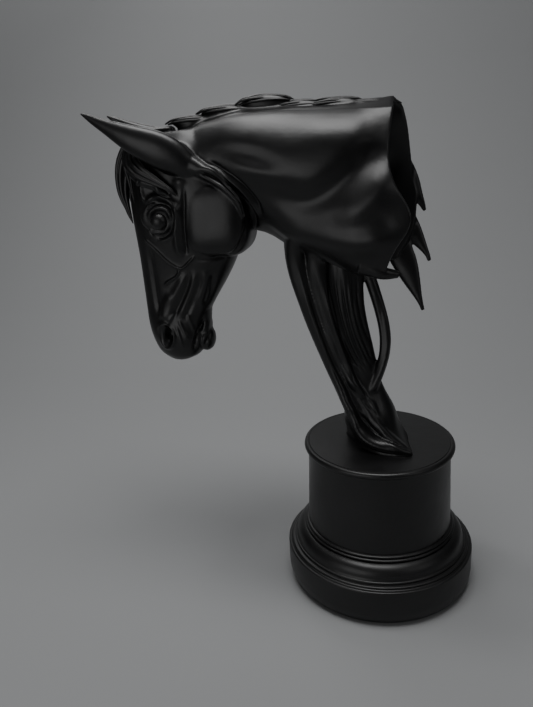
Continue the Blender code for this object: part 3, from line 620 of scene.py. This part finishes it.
# %% Head lines
HEAD_LINES = [
    # brow, temple and the bone under the forelock
    ([(-0.2570, 0.4705), (-0.2490, 0.4798), (-0.2371, 0.4836), (-0.2251, 0.4799), (-0.2170, 0.4701),
      (-0.2160, 0.4583)], 3.6, 3.6),
    ([(-0.2547, 0.5061), (-0.2577, 0.4915), (-0.2543, 0.4764)], 2.6, 3.0),
    ([(-0.2383, 0.4992), (-0.2345, 0.4900), (-0.2365, 0.4830)], 2.2, 1.6),
    # facial crest and the edge of the cheek
    ([(-0.2139, 0.4838), (-0.2170, 0.4639), (-0.2204, 0.4424), (-0.2210, 0.4260), (-0.2150, 0.4170)],
     3.6, 3.6),
    ([(-0.2054, 0.4980), (-0.2097, 0.4636), (-0.2118, 0.4335), (-0.2115, 0.4169)], 2.0, -3.6),
    ([(-0.2015, 0.5040), (-0.1799, 0.5041), (-0.1597, 0.4955), (-0.1452, 0.4811), (-0.1405, 0.4605),
      (-0.1441, 0.4392), (-0.1583, 0.4190), (-0.1879, 0.4132), (-0.2104, 0.4137)], 2.2, -3.2),
    # long muscles of the face
    ([(-0.2156, 0.4000), (-0.2231, 0.3852), (-0.2358, 0.3665), (-0.2452, 0.3474), (-0.2539, 0.3353)],
     5.5, 2.6),
    ([(-0.2036, 0.4032), (-0.2102, 0.3826), (-0.2221, 0.3592), (-0.2337, 0.3401)], 4.6, 1.8),
    ([(-0.1907, 0.4029), (-0.1974, 0.3801), (-0.2079, 0.3567)], 5.5, 1.8),
    ([(-0.2096, 0.4011), (-0.2176, 0.3804), (-0.2293, 0.3593), (-0.2410, 0.3401)], 3.2, -2.2),
    ([(-0.1979, 0.4008), (-0.2033, 0.3802), (-0.2163, 0.3568), (-0.2266, 0.3376)], 3.0, -1.7),
    ([(-0.1853, 0.3983), (-0.1908, 0.3753), (-0.1997, 0.3542)], 3.4, -2.0),
    ([(-0.2606, 0.4358), (-0.2588, 0.4106), (-0.2583, 0.3837), (-0.2574, 0.3598), (-0.2546, 0.3415)],
     4.0, -2.0),
    ([(-0.2548, 0.3391), (-0.2477, 0.3585), (-0.2362, 0.3751)], 4.2, 1.8),
    # lids, their creases and the folds behind
    ([(-0.2504, 0.4575), (-0.2463, 0.4671), (-0.2384, 0.4716), (-0.2289, 0.4697), (-0.2245, 0.4631),
      (-0.2246, 0.4567)], 1.9, 3.4),
    ([(-0.2504, 0.4500), (-0.2487, 0.4471), (-0.2409, 0.4447), (-0.2318, 0.4482), (-0.2260, 0.4546)],
     1.8, 2.9),
    ([(-0.2537, 0.4631), (-0.2468, 0.4730), (-0.2361, 0.4768), (-0.2251, 0.4732), (-0.2198, 0.4651)],
     1.3, -1.9),
    ([(-0.2467, 0.4402), (-0.2375, 0.4394), (-0.2289, 0.4446), (-0.2222, 0.4531)], 1.3, -1.5),
    ([(-0.2449, 0.4358), (-0.2357, 0.4355), (-0.2258, 0.4412), (-0.2185, 0.4508)], 1.6, 1.2),
    ([(-0.2526, 0.4462), (-0.2490, 0.4417)], 1.3, -1.8),
    # nostril, lips and chin
    ([(-0.2585, 0.3224), (-0.2577, 0.3298), (-0.2533, 0.3360), (-0.2459, 0.3353), (-0.2405, 0.3285),
      (-0.2383, 0.3199), (-0.2425, 0.3099), (-0.2496, 0.3074), (-0.2564, 0.3137), (-0.2585, 0.3224)],
     2.4, 3.4),
    ([(-0.2459, 0.3353), (-0.2400, 0.3444), (-0.2331, 0.3516)], 1.6, 1.5),
    ([(-0.2321, 0.3438), (-0.2263, 0.3291), (-0.2215, 0.3155)], 1.6, 1.3),
    ([(-0.2363, 0.3390), (-0.2310, 0.3192), (-0.2287, 0.3043)], 1.6, 1.2),
    ([(-0.2217, 0.3510), (-0.2170, 0.3364), (-0.2145, 0.3241)], 1.5, 1.2),
    ([(-0.2026, 0.3406), (-0.2086, 0.3284), (-0.2142, 0.3136), (-0.2166, 0.3011)], 1.8, -5.5),
    ([(-0.1991, 0.3370), (-0.2029, 0.3223), (-0.2106, 0.3048)], 2.0, 1.6),
    ([(-0.1947, 0.3263), (-0.2034, 0.3114), (-0.2080, 0.3013)], 1.3, -1.8),
    # the creases of the throat
    ([(-0.1914, 0.5095), (-0.1767, 0.5026), (-0.1559, 0.4894), (-0.1397, 0.4722), (-0.1343, 0.4531),
      (-0.1361, 0.4425)], 2.2, -4.4),
    ([(-0.1866, 0.5143), (-0.1719, 0.5075), (-0.1512, 0.4933), (-0.1352, 0.4741), (-0.1289, 0.4529)],
     1.8, 2.6),
    ([(-0.1806, 0.5201), (-0.1651, 0.5102), (-0.1456, 0.4961), (-0.1297, 0.4759), (-0.1232, 0.4569)],
     1.8, -3.0),
]
VEINS = [
    [(-0.2643, 0.4393), (-0.2484, 0.4243), (-0.2362, 0.4115), (-0.2218, 0.4032), (-0.2099, 0.4109),
     (-0.2017, 0.4186)],
    [(-0.2224, 0.4029), (-0.2277, 0.3938), (-0.2396, 0.3870), (-0.2434, 0.3829)],
]
normals = current_normals()
for side in (-1.0, 1.0):
    dab(-0.2388, 0.4577, 12.5, 12.5, -5.2, side=side)
    dab(-0.2444, 0.4891, 5, 9, -2.4, side=side)
    dab(-0.2112, 0.4981, 6, 6, 2.6, side=side)
    dab(-0.1937, 0.3247, 6, 6, 1.5, side=side, depth=0.003)
normals = current_normals()
for side in (-1.0, 1.0):
    for line, width, height in HEAD_LINES:
        carve(line, width, height, side=side, depth=0.003)
relax((points[:, 0] < -0.14) & (points[:, 2] > 0.28), 2)
normals = current_normals()
for side in (-1.0, 1.0):
    dab(-0.2462, 0.3235, 5.4, 9.6, -10.5, side=side, lean=-12, power=3.0)
    for vein in VEINS:
        carve(vein, 1.2, 2.1, side=side, taper=0.12)
print("head lines:", len(HEAD_LINES), "veins:", len(VEINS))

# %% [markdown]
# ## Carving the stem
#
# Fine flutes run down the block like combed hair, a raised rim parts them from the ribbons, and at the
# foot everything turns to folds that sweep to one point, as cloth does when it is pulled sideways.

# %% Stem lines
FLUTES = [
    [(-0.0569, 0.4027), (-0.0534, 0.3605), (-0.0428, 0.3191), (-0.0306, 0.2887), (-0.0181, 0.2703)],
    [(-0.0503, 0.4015), (-0.0456, 0.3546), (-0.0360, 0.3155), (-0.0249, 0.2888), (-0.0146, 0.2716)],
    [(-0.0426, 0.3991), (-0.0389, 0.3545), (-0.0314, 0.3191), (-0.0214, 0.2937), (-0.0123, 0.2753)],
    [(-0.0360, 0.3967), (-0.0332, 0.3545), (-0.0268, 0.3227), (-0.0168, 0.2974), (-0.0089, 0.2790)],
    [(-0.0295, 0.3943), (-0.0277, 0.3544), (-0.0223, 0.3274), (-0.0134, 0.3010), (-0.0077, 0.2864)],
    [(-0.0240, 0.3917), (-0.0232, 0.3599), (-0.0178, 0.3306), (-0.0100, 0.3067)],
]
FOLDS = [
    ([(-0.0624, 0.4040), (-0.0548, 0.3489), (-0.0430, 0.3070), (-0.0296, 0.2702), (-0.0217, 0.2514),
      (-0.0077, 0.2363), (-0.0007, 0.2210)], 1.5, 2.6),
    ([(-0.0870, 0.4188), (-0.0744, 0.3620), (-0.0554, 0.3026), (-0.0388, 0.2657), (-0.0262, 0.2458),
      (-0.0147, 0.2243), (-0.0077, 0.2154)], 2.4, -3.0),
    ([(-0.0755, 0.4048), (-0.0636, 0.3497), (-0.0464, 0.3019), (-0.0307, 0.2650)], 5.5, -3.0),
    ([(-0.0960, 0.4188), (-0.0850, 0.3620), (-0.0660, 0.3026), (-0.0480, 0.2657)], 5.5, -2.2),
    ([(-0.0392, 0.2716), (-0.0251, 0.2561), (-0.0041, 0.2273), (0.0109, 0.2020), (0.0374, 0.1860)],
     4.2, 4.0),
    ([(-0.0341, 0.2331), (-0.0180, 0.2196), (-0.0075, 0.2078), (0.0060, 0.1985)], 2.4, -3.4),
    ([(-0.0328, 0.2624), (-0.0180, 0.2450), (-0.0077, 0.2313)], 2.4, -2.8),
    ([(-0.0497, 0.2759), (-0.0395, 0.2451), (-0.0293, 0.2276), (-0.0219, 0.2054), (-0.0018, 0.1930),
      (0.0362, 0.1850)], 4.4, 3.6),
    ([(-0.0042, 0.2452), (0.0051, 0.2136), (0.0162, 0.1958)], 2.0, -1.6),
    ([(-0.0077, 0.2524), (-0.0043, 0.2449)], 2.2, -2.6),
    ([(-0.0011, 0.3715), (0.0079, 0.3400), (0.0115, 0.3102), (0.0060, 0.2796), (-0.0032, 0.2544)], 1.4, 1.2),
    ([(-0.0077, 0.3773), (0.0024, 0.3401), (0.0059, 0.3042), (-0.0009, 0.2758), (-0.0078, 0.2607)],
     1.3, -1.3),
]
normals = current_normals()
for side in (-1.0, 1.0):
    for line, width, height in FOLDS:
        carve(line, width, height, side=side, depth=-0.004 if side < 0 else 0.002, reach_y=0.060)
# Even the foot, then the stem under the hem
relax(points[:, 2] < 0.30, 8)
relax((points[:, 2] < 0.42) & (np.abs(points[:, 1]) < 0.030) & (points[:, 0] > -0.13), 10)
normals = current_normals()
for side in (-1.0, 1.0):
    for line in FLUTES:
        carve(line, 1.1, -1.9, side=side, depth=0.002, reach_y=0.034)
# A thin rim of bonding resin where the foot meets the plinth
RIM_HEIGHT, RIM_OUT = 0.0016, 0.0011
normals = current_normals()
rim_share = np.clip(1 - (points[:, 2] - SEAT) / RIM_HEIGHT, 0, 1)
points[:, 0] += normals[:, 0] * rim_share * RIM_OUT
points[:, 1] += normals[:, 1] * rim_share * RIM_OUT
skin.vertices.foreach_set("co", points.ravel())
skin.update()
print("flutes:", len(FLUTES), "folds:", len(FOLDS))

# %% [markdown]
# ## The finished casting
#
# The foot is cut flat where it stands on the plinth, stray islands are dropped, and Decimate thins the
# skin: it takes triangles from the smooth sheet of the neck and leaves them at the lids and flutes.

# %% Cut the foot flat and thin the skin
CAST_TRIANGLES = 190_000


def seated(mesh):
    """Cuts the skin level with the seat and closes the cut."""
    form = bmesh.new()
    form.from_mesh(mesh)
    whole = form.verts[:] + form.edges[:] + form.faces[:]
    cut = bmesh.ops.bisect_plane(form, geom=whole, plane_co=(0, 0, SEAT), plane_no=(0, 0, -1),
                                 clear_outer=True)
    rim = [item for item in cut["geom_cut"] if isinstance(item, bmesh.types.BMEdge)]
    bmesh.ops.holes_fill(form, edges=rim, sides=0)
    unseen = set(form.verts)
    islands = []
    while unseen:
        front = [unseen.pop()]
        island = list(front)
        while front:
            for edge in front.pop().link_edges:
                for vert in edge.verts:
                    if vert in unseen:
                        unseen.remove(vert)
                        front.append(vert)
                        island.append(vert)
        islands.append(island)
    islands.sort(key=len)
    for island in islands[:-1]:
        bmesh.ops.delete(form, geom=island, context="VERTS")
    bmesh.ops.recalc_face_normals(form, faces=form.faces)
    return form


cast_block = as_object(seated(skin), "cast_block")
thin = cast_block.modifiers.new("thin", "DECIMATE")
thin.ratio = min(1.0, CAST_TRIANGLES / sum(len(f.vertices) - 2 for f in cast_block.data.polygons))
cast_mesh = evaluated_mesh(cast_block)
bpy.data.objects.remove(cast_block)
horse_cast = bpy.data.objects.new("horse_cast", cast_mesh)
bpy.context.scene.collection.objects.link(horse_cast)
for face in horse_cast.data.polygons:
    face.use_smooth = True
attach(horse_cast, "root")
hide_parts("horse_head")
print("casting:", sum(len(f.vertices) - 2 for f in cast_mesh.polygons), "triangles")

# %% [markdown]
# ## Hair
#
# The forelock and the mane are modelled as locks, each a bundle of fine strands that start side by side,
# twist a little and taper to one point. They are half sunk in the casting, so they read as carved and not
# as threads laid on. A particle system would give loose hair, which a casting never has.

# %% Hair
def add_lock(form, path, count, spread, radius, twist=0.35, sides=8, deep=1.0, wide=0.55):
    """A bundle of strands round one smooth path of x, y, z points, deep and wide as shares of its spread."""
    spine = smooth_line(path, 5 * (len(path) - 1) + 1)
    last = len(spine) - 1
    for k in range(count):
        start = 2 * math.pi * k / count + 0.6 * (k % 2)
        ring = spread * (0.55 + 0.45 * ((k * 7) % count) / max(count - 1, 1))
        rows = []
        for i, middle in enumerate(spine):
            t = i / last
            ahead = Vector(spine[min(i + 1, last)]) - Vector(spine[max(i - 1, 0)])
            across = ahead.cross(Vector((0, 1, 0))).normalized()
            through = across.cross(ahead).normalized()
            gather = (0.35 + 0.65 * math.sin(math.pi * min(t * 1.15 + 0.12, 1.0))) * (1 - t ** 4)
            turn = start + twist * t
            swing = across * deep * math.cos(turn) + through * wide * math.sin(turn)
            point = Vector(middle) + swing * ring * gather
            thick = radius * (1 - t ** 3) * (0.75 + 0.25 * math.sin(math.pi * t)) + 0.0003
            rows.append((*point, thick * 1.25, thick))
        add_strand(form, rows, sides=sides, rings_per_point=1)


FORELOCK = [
    ([(-0.222, -0.006, 0.549), (-0.253, -0.014, 0.543), (-0.2665, -0.026, 0.527), (-0.2554, -0.0375, 0.512),
      (-0.2366, -0.0405, 0.5005), (-0.2200, -0.0415, 0.4900), (-0.2150, -0.0405, 0.4835)],
     11, 0.0082, 0.0021),
    ([(-0.224, 0.000, 0.549), (-0.262, -0.004, 0.542), (-0.2800, -0.008, 0.521), (-0.2860, -0.010, 0.492),
      (-0.2820, -0.012, 0.468), (-0.2780, -0.013, 0.4535)], 12, 0.0088, 0.0022),
    ([(-0.226, -0.004, 0.548), (-0.258, -0.012, 0.541), (-0.2730, -0.019, 0.523), (-0.2710, -0.025, 0.500),
      (-0.2675, -0.028, 0.477)], 9, 0.0070, 0.0020),
    ([(-0.224, 0.006, 0.549), (-0.262, 0.010, 0.541), (-0.2800, 0.014, 0.518), (-0.2840, 0.016, 0.488),
      (-0.2800, 0.014, 0.458)], 11, 0.0084, 0.0022),
    ([(-0.224, 0.008, 0.548), (-0.258, 0.020, 0.538), (-0.2700, 0.030, 0.514), (-0.2660, 0.034, 0.486)],
     9, 0.0074, 0.0020),
]


def satin_piece(form, name):
    """Makes a smooth-shaded piece that rides on the root body."""
    made = as_object(form, name)
    for face in made.data.polygons:
        face.use_smooth = True
    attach(made, "root")
    print(name, len(made.data.polygons), "faces")
    return made


form = bmesh.new()
for path, count, reach, radius in FORELOCK:
    add_lock(form, path, count, reach, radius)
forelock = satin_piece(form, "forelock")

MANE_STRANDS = 9
form = bmesh.new()
for lump, (x, z, half_length, half_height) in enumerate(MANE_LUMPS):
    for k in range(MANE_STRANDS):
        lean = math.radians(-66 + 132 * k / (MANE_STRANDS - 1))
        slip = 0.16 * math.sin(2.3 * k + lump)
        rows = []
        for a in np.linspace(-1.12, 1.12, 9):
            ring = math.sqrt(max(1 - (a * 0.88) ** 2, 0.0))
            out = ring * (1.0 + 0.05 * math.sin(3.1 * k + 2.0 * a))
            thick = MANE_STRAND * (0.35 + 0.65 * ring)
            rows.append((x + (a + slip) * half_length,
                         MANE_OFFSET + MANE_HALF_WIDTH * (out * math.sin(lean) + 0.25 * a),
                         z + half_height * out * math.cos(lean) - MANE_SINK, thick * 1.3, thick))
        add_strand(form, rows, sides=8, rings_per_point=3)
mane = satin_piece(form, "mane")

# %% [markdown]
# ## The eyes
#
# Each eye is a polished ball set behind the lids. A sphere is enough, flattened a little from side to side.

# %% Eyes
EYE_CENTRE = (-0.2385, 0.0352, 0.4573)
EYE_HALF = (0.0100, 0.0088, 0.0098)
form = bmesh.new()
for side in (-1.0, 1.0):
    add_ball(form, EYE_CENTRE, EYE_HALF, mirror=side)
eyes = satin_piece(form, "eyes")
print("eyes at", EYE_CENTRE)

# %% [markdown]
# ## The plinth
#
# The plinth is turned: a lip at the top, a drum that widens a little, a collar, a broad ovolo, two thin
# beads and a thick foot. Its profile is drawn once in the plane y = 0, and spin carries it round the axis.

# %% Plinth
PLINTH_HEIGHT = 0.183
SPIN_STEPS = 160


def arc(centre, radius, start, stop, steps):
    """Points on part of an ellipse in the profile plane."""
    turns = [math.radians(start + (stop - start) * i / steps) for i in range(steps + 1)]
    return [(centre[0] + radius[0] * math.cos(t), centre[1] + radius[1] * math.sin(t)) for t in turns]


def plinth_profile():
    """Radius and height from the middle of the top, down the outer side, to the middle of the base."""
    profile = [(0.0, PLINTH_HEIGHT), (0.0845, PLINTH_HEIGHT), (0.0850, 0.1824), (0.0856, 0.1824)]
    profile += arc((0.0866, 0.1790), (0.0040, 0.0040), 80, -80, 12)
    profile += [(0.0857, 0.1743), (0.0855, 0.1735), (0.0883, 0.0782)]
    profile += arc((0.0885, 0.0765), (0.0032, 0.0016), 80, -70, 8)
    profile += [(0.0895, 0.0746)]
    profile += arc((0.0893, 0.0728), (0.0042, 0.0017), 80, -70, 8)
    profile += [(0.0915, 0.0709)]
    profile += arc((0.0900, 0.0555), (0.0138, 0.0150), 84, 8, 14)
    profile += [(0.1040, 0.0560), (0.1050, 0.0545)]
    profile += arc((0.1052, 0.0533), (0.0016, 0.0012), 90, -60, 6)
    profile += [(0.1062, 0.0515), (0.1090, 0.0512)]
    profile += arc((0.1090, 0.0499), (0.0018, 0.0012), 90, -60, 6)
    profile += [(0.1101, 0.0482), (0.1115, 0.0478), (0.1120, 0.0471), (0.1132, 0.0471)]
    profile += arc((0.1132, 0.0451), (0.0020, 0.0020), 85, 0, 6)
    profile += arc((0.1052, 0.0200), (0.0100, 0.0200), 0, -84, 14)
    profile += [(0.1055, 0.0000), (0.0, 0.0)]
    return profile


form = bmesh.new()
outline = [form.verts.new((radius, 0, height)) for radius, height in plinth_profile()]
runs = [form.edges.new(pair) for pair in zip(outline, outline[1:])]
bmesh.ops.spin(form, geom=outline + runs, cent=(0, 0, 0), axis=(0, 0, 1), angle=2 * math.pi,
               steps=SPIN_STEPS, use_merge=True)
bmesh.ops.remove_doubles(form, verts=form.verts, dist=1e-6)
bmesh.ops.recalc_face_normals(form, faces=form.faces)
turned_plinth = as_object(form, "turned_plinth")
turned_plinth.data.set_sharp_from_angle(angle=math.radians(40))
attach(turned_plinth, "root")
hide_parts("plinth")
print("plinth:", len(turned_plinth.data.polygons), "faces")

# %% [markdown]
# ## Finishes
#
# The casting has a satin black lacquer over resin: soft broad highlights, a faint orange peel and a trace
# of dust. The plinth is duller, with a deeper peel; the real one is rubbed round on the lathe with hair-fine
# scratches, which are not made here. Both are built from noise on Object coordinates. A flat black would
# hide the carving, since only the gloss shows it.

# %% Finishes
def noise(nodes, links, coordinates, scale, detail, stretch=(1, 1, 1)):
    """A noise texture on Object coordinates, stretched along the axes if need be."""
    mapping = nodes.new("ShaderNodeMapping")
    mapping.inputs["Scale"].default_value = stretch
    texture = nodes.new("ShaderNodeTexNoise")
    texture.inputs["Scale"].default_value = scale
    texture.inputs["Detail"].default_value = detail
    links.new(coordinates, mapping.inputs["Vector"])
    links.new(mapping.outputs["Vector"], texture.inputs["Vector"])
    return texture.outputs["Fac"]


def spread(nodes, links, value, low, high, out_low, out_high):
    """Maps a noise value between two limits."""
    rule = nodes.new("ShaderNodeMapRange")
    for name, number in (("From Min", low), ("From Max", high), ("To Min", out_low), ("To Max", out_high)):
        rule.inputs[name].default_value = number
    links.new(value, rule.inputs["Value"])
    return rule.outputs["Result"]


def lacquer(name, base, dusty, rough_low, rough_high, peel):
    """A black lacquer: dust in the colour, a varied gloss and a fine peel in the bump."""
    made = bpy.data.materials.new(name)
    made.use_nodes = True
    nodes, links = made.node_tree.nodes, made.node_tree.links
    shader = nodes["Principled BSDF"]
    coordinates = nodes.new("ShaderNodeTexCoord").outputs["Object"]
    cloud = noise(nodes, links, coordinates, 14, 4)
    speck = noise(nodes, links, coordinates, 420, 2)
    dust = nodes.new("ShaderNodeMath")
    dust.operation = "MULTIPLY"
    links.new(spread(nodes, links, cloud, 0.45, 0.75, 0.0, 1.0), dust.inputs[0])
    links.new(spread(nodes, links, speck, 0.45, 0.70, 0.2, 1.0), dust.inputs[1])
    mix = nodes.new("ShaderNodeMix")
    mix.data_type = "RGBA"
    mix.inputs["A"].default_value = (*base, 1)
    mix.inputs["B"].default_value = (*dusty, 1)
    links.new(dust.outputs[0], mix.inputs["Factor"])
    links.new(mix.outputs["Result"], shader.inputs["Base Color"])
    links.new(spread(nodes, links, cloud, 0.3, 0.7, rough_low, rough_high), shader.inputs["Roughness"])
    normal = None
    for scale, distance, strength in ((30, 0.0014, 0.45), (260, peel, 0.25)):
        bump = nodes.new("ShaderNodeBump")
        bump.inputs["Strength"].default_value = strength
        bump.inputs["Distance"].default_value = distance
        links.new(noise(nodes, links, coordinates, scale, 3), bump.inputs["Height"])
        if normal:
            links.new(normal, bump.inputs["Normal"])
        normal = bump.outputs["Normal"]
    links.new(normal, shader.inputs["Normal"])
    return made


satin = lacquer("black_satin", (0.0040, 0.0040, 0.0043), (0.0110, 0.0110, 0.0115), 0.31, 0.42, 0.00008)
matt = lacquer("black_matt", (0.0050, 0.0050, 0.0052), (0.0120, 0.0120, 0.0124), 0.33, 0.45, 0.00012)
for piece in (horse_cast, forelock, mane, eyes):
    piece.data.materials.clear()
    piece.data.materials.append(satin)
turned_plinth.data.materials.append(matt)
print("finishes:", satin.name, matt.name)

# %% [markdown]
# ## Studio
#
# A pale floor sweeps up into a backdrop. One large soft light hangs above, weak ones stand at the side,
# in front and behind, and one more lights the backdrop. Black satin shows nothing of its own colour: what
# one sees on it is the lights, so the overhead light does most of the work and the room stays dim.

# %% Studio
SWEEP_START, SWEEP_RADIUS, SWEEP_TOP = 0.55, 0.90, 2.6
SWEEP_STEPS = 64
FLOOR_AHEAD, FLOOR_WIDTH = 7.0, 14.0
form = bmesh.new()
bmesh.ops.create_grid(form, x_segments=1, y_segments=SWEEP_STEPS, size=0.5)
quarter = SWEEP_RADIUS * math.pi / 2
run = FLOOR_AHEAD + SWEEP_START + quarter + SWEEP_TOP - SWEEP_RADIUS
for vert in form.verts:
    along = (vert.co.y + 0.5) * run - FLOOR_AHEAD
    past = along - SWEEP_START
    if past <= 0:
        spot = (along, 0.0)
    elif past < quarter:
        bend = past / SWEEP_RADIUS
        spot = (SWEEP_START + SWEEP_RADIUS * math.sin(bend), SWEEP_RADIUS * (1 - math.cos(bend)))
    else:
        spot = (SWEEP_START + SWEEP_RADIUS, SWEEP_RADIUS + past - quarter)
    vert.co = (vert.co.x * FLOOR_WIDTH, *spot)
floor = as_object(form, "floor")
for face in floor.data.polygons:
    face.use_smooth = True
floor_paint = bpy.data.materials.new("floor_paint")
floor_paint.use_nodes = True
paint = floor_paint.node_tree.nodes["Principled BSDF"]
paint.inputs["Base Color"].default_value = (0.315, 0.320, 0.325, 1)
paint.inputs["Roughness"].default_value = 0.9
paint.inputs["Specular IOR Level"].default_value = 0.1
floor.data.materials.append(floor_paint)

world = bpy.data.worlds.new("studio")
bpy.context.scene.world = world
world.use_nodes = True
glow = world.node_tree.nodes["Background"]
glow.inputs["Color"].default_value = (0.62, 0.62, 0.63, 1)
glow.inputs["Strength"].default_value = 0.06


def softbox(name, place, aim, width, height, watts):
    data = bpy.data.lights.new(name, "AREA")
    data.shape = "RECTANGLE"
    data.size, data.size_y, data.energy = width, height, watts
    light = bpy.data.objects.new(name, data)
    light.location = place
    light.rotation_euler = (Vector(aim) - Vector(place)).to_track_quat("-Z", "Y").to_euler()
    bpy.context.scene.collection.objects.link(light)


AIM = (-0.05, 0.0, 0.45)
softbox("overhead", (-0.08, -0.20, 1.70), AIM, 0.95, 0.62, 15)
softbox("side", (1.3, -0.9, 1.0), AIM, 0.6, 0.8, 1.6)
softbox("front", (-0.85, -1.5, 0.50), AIM, 1.2, 1.0, 5.0)
softbox("backdrop", (-0.9, 0.25, 2.2), (-0.7, 1.45, 1.1), 1.0, 0.4, 11)
softbox("rear", (-0.6, 1.15, 1.5), AIM, 0.7, 0.5, 3.0)
print("studio lit")
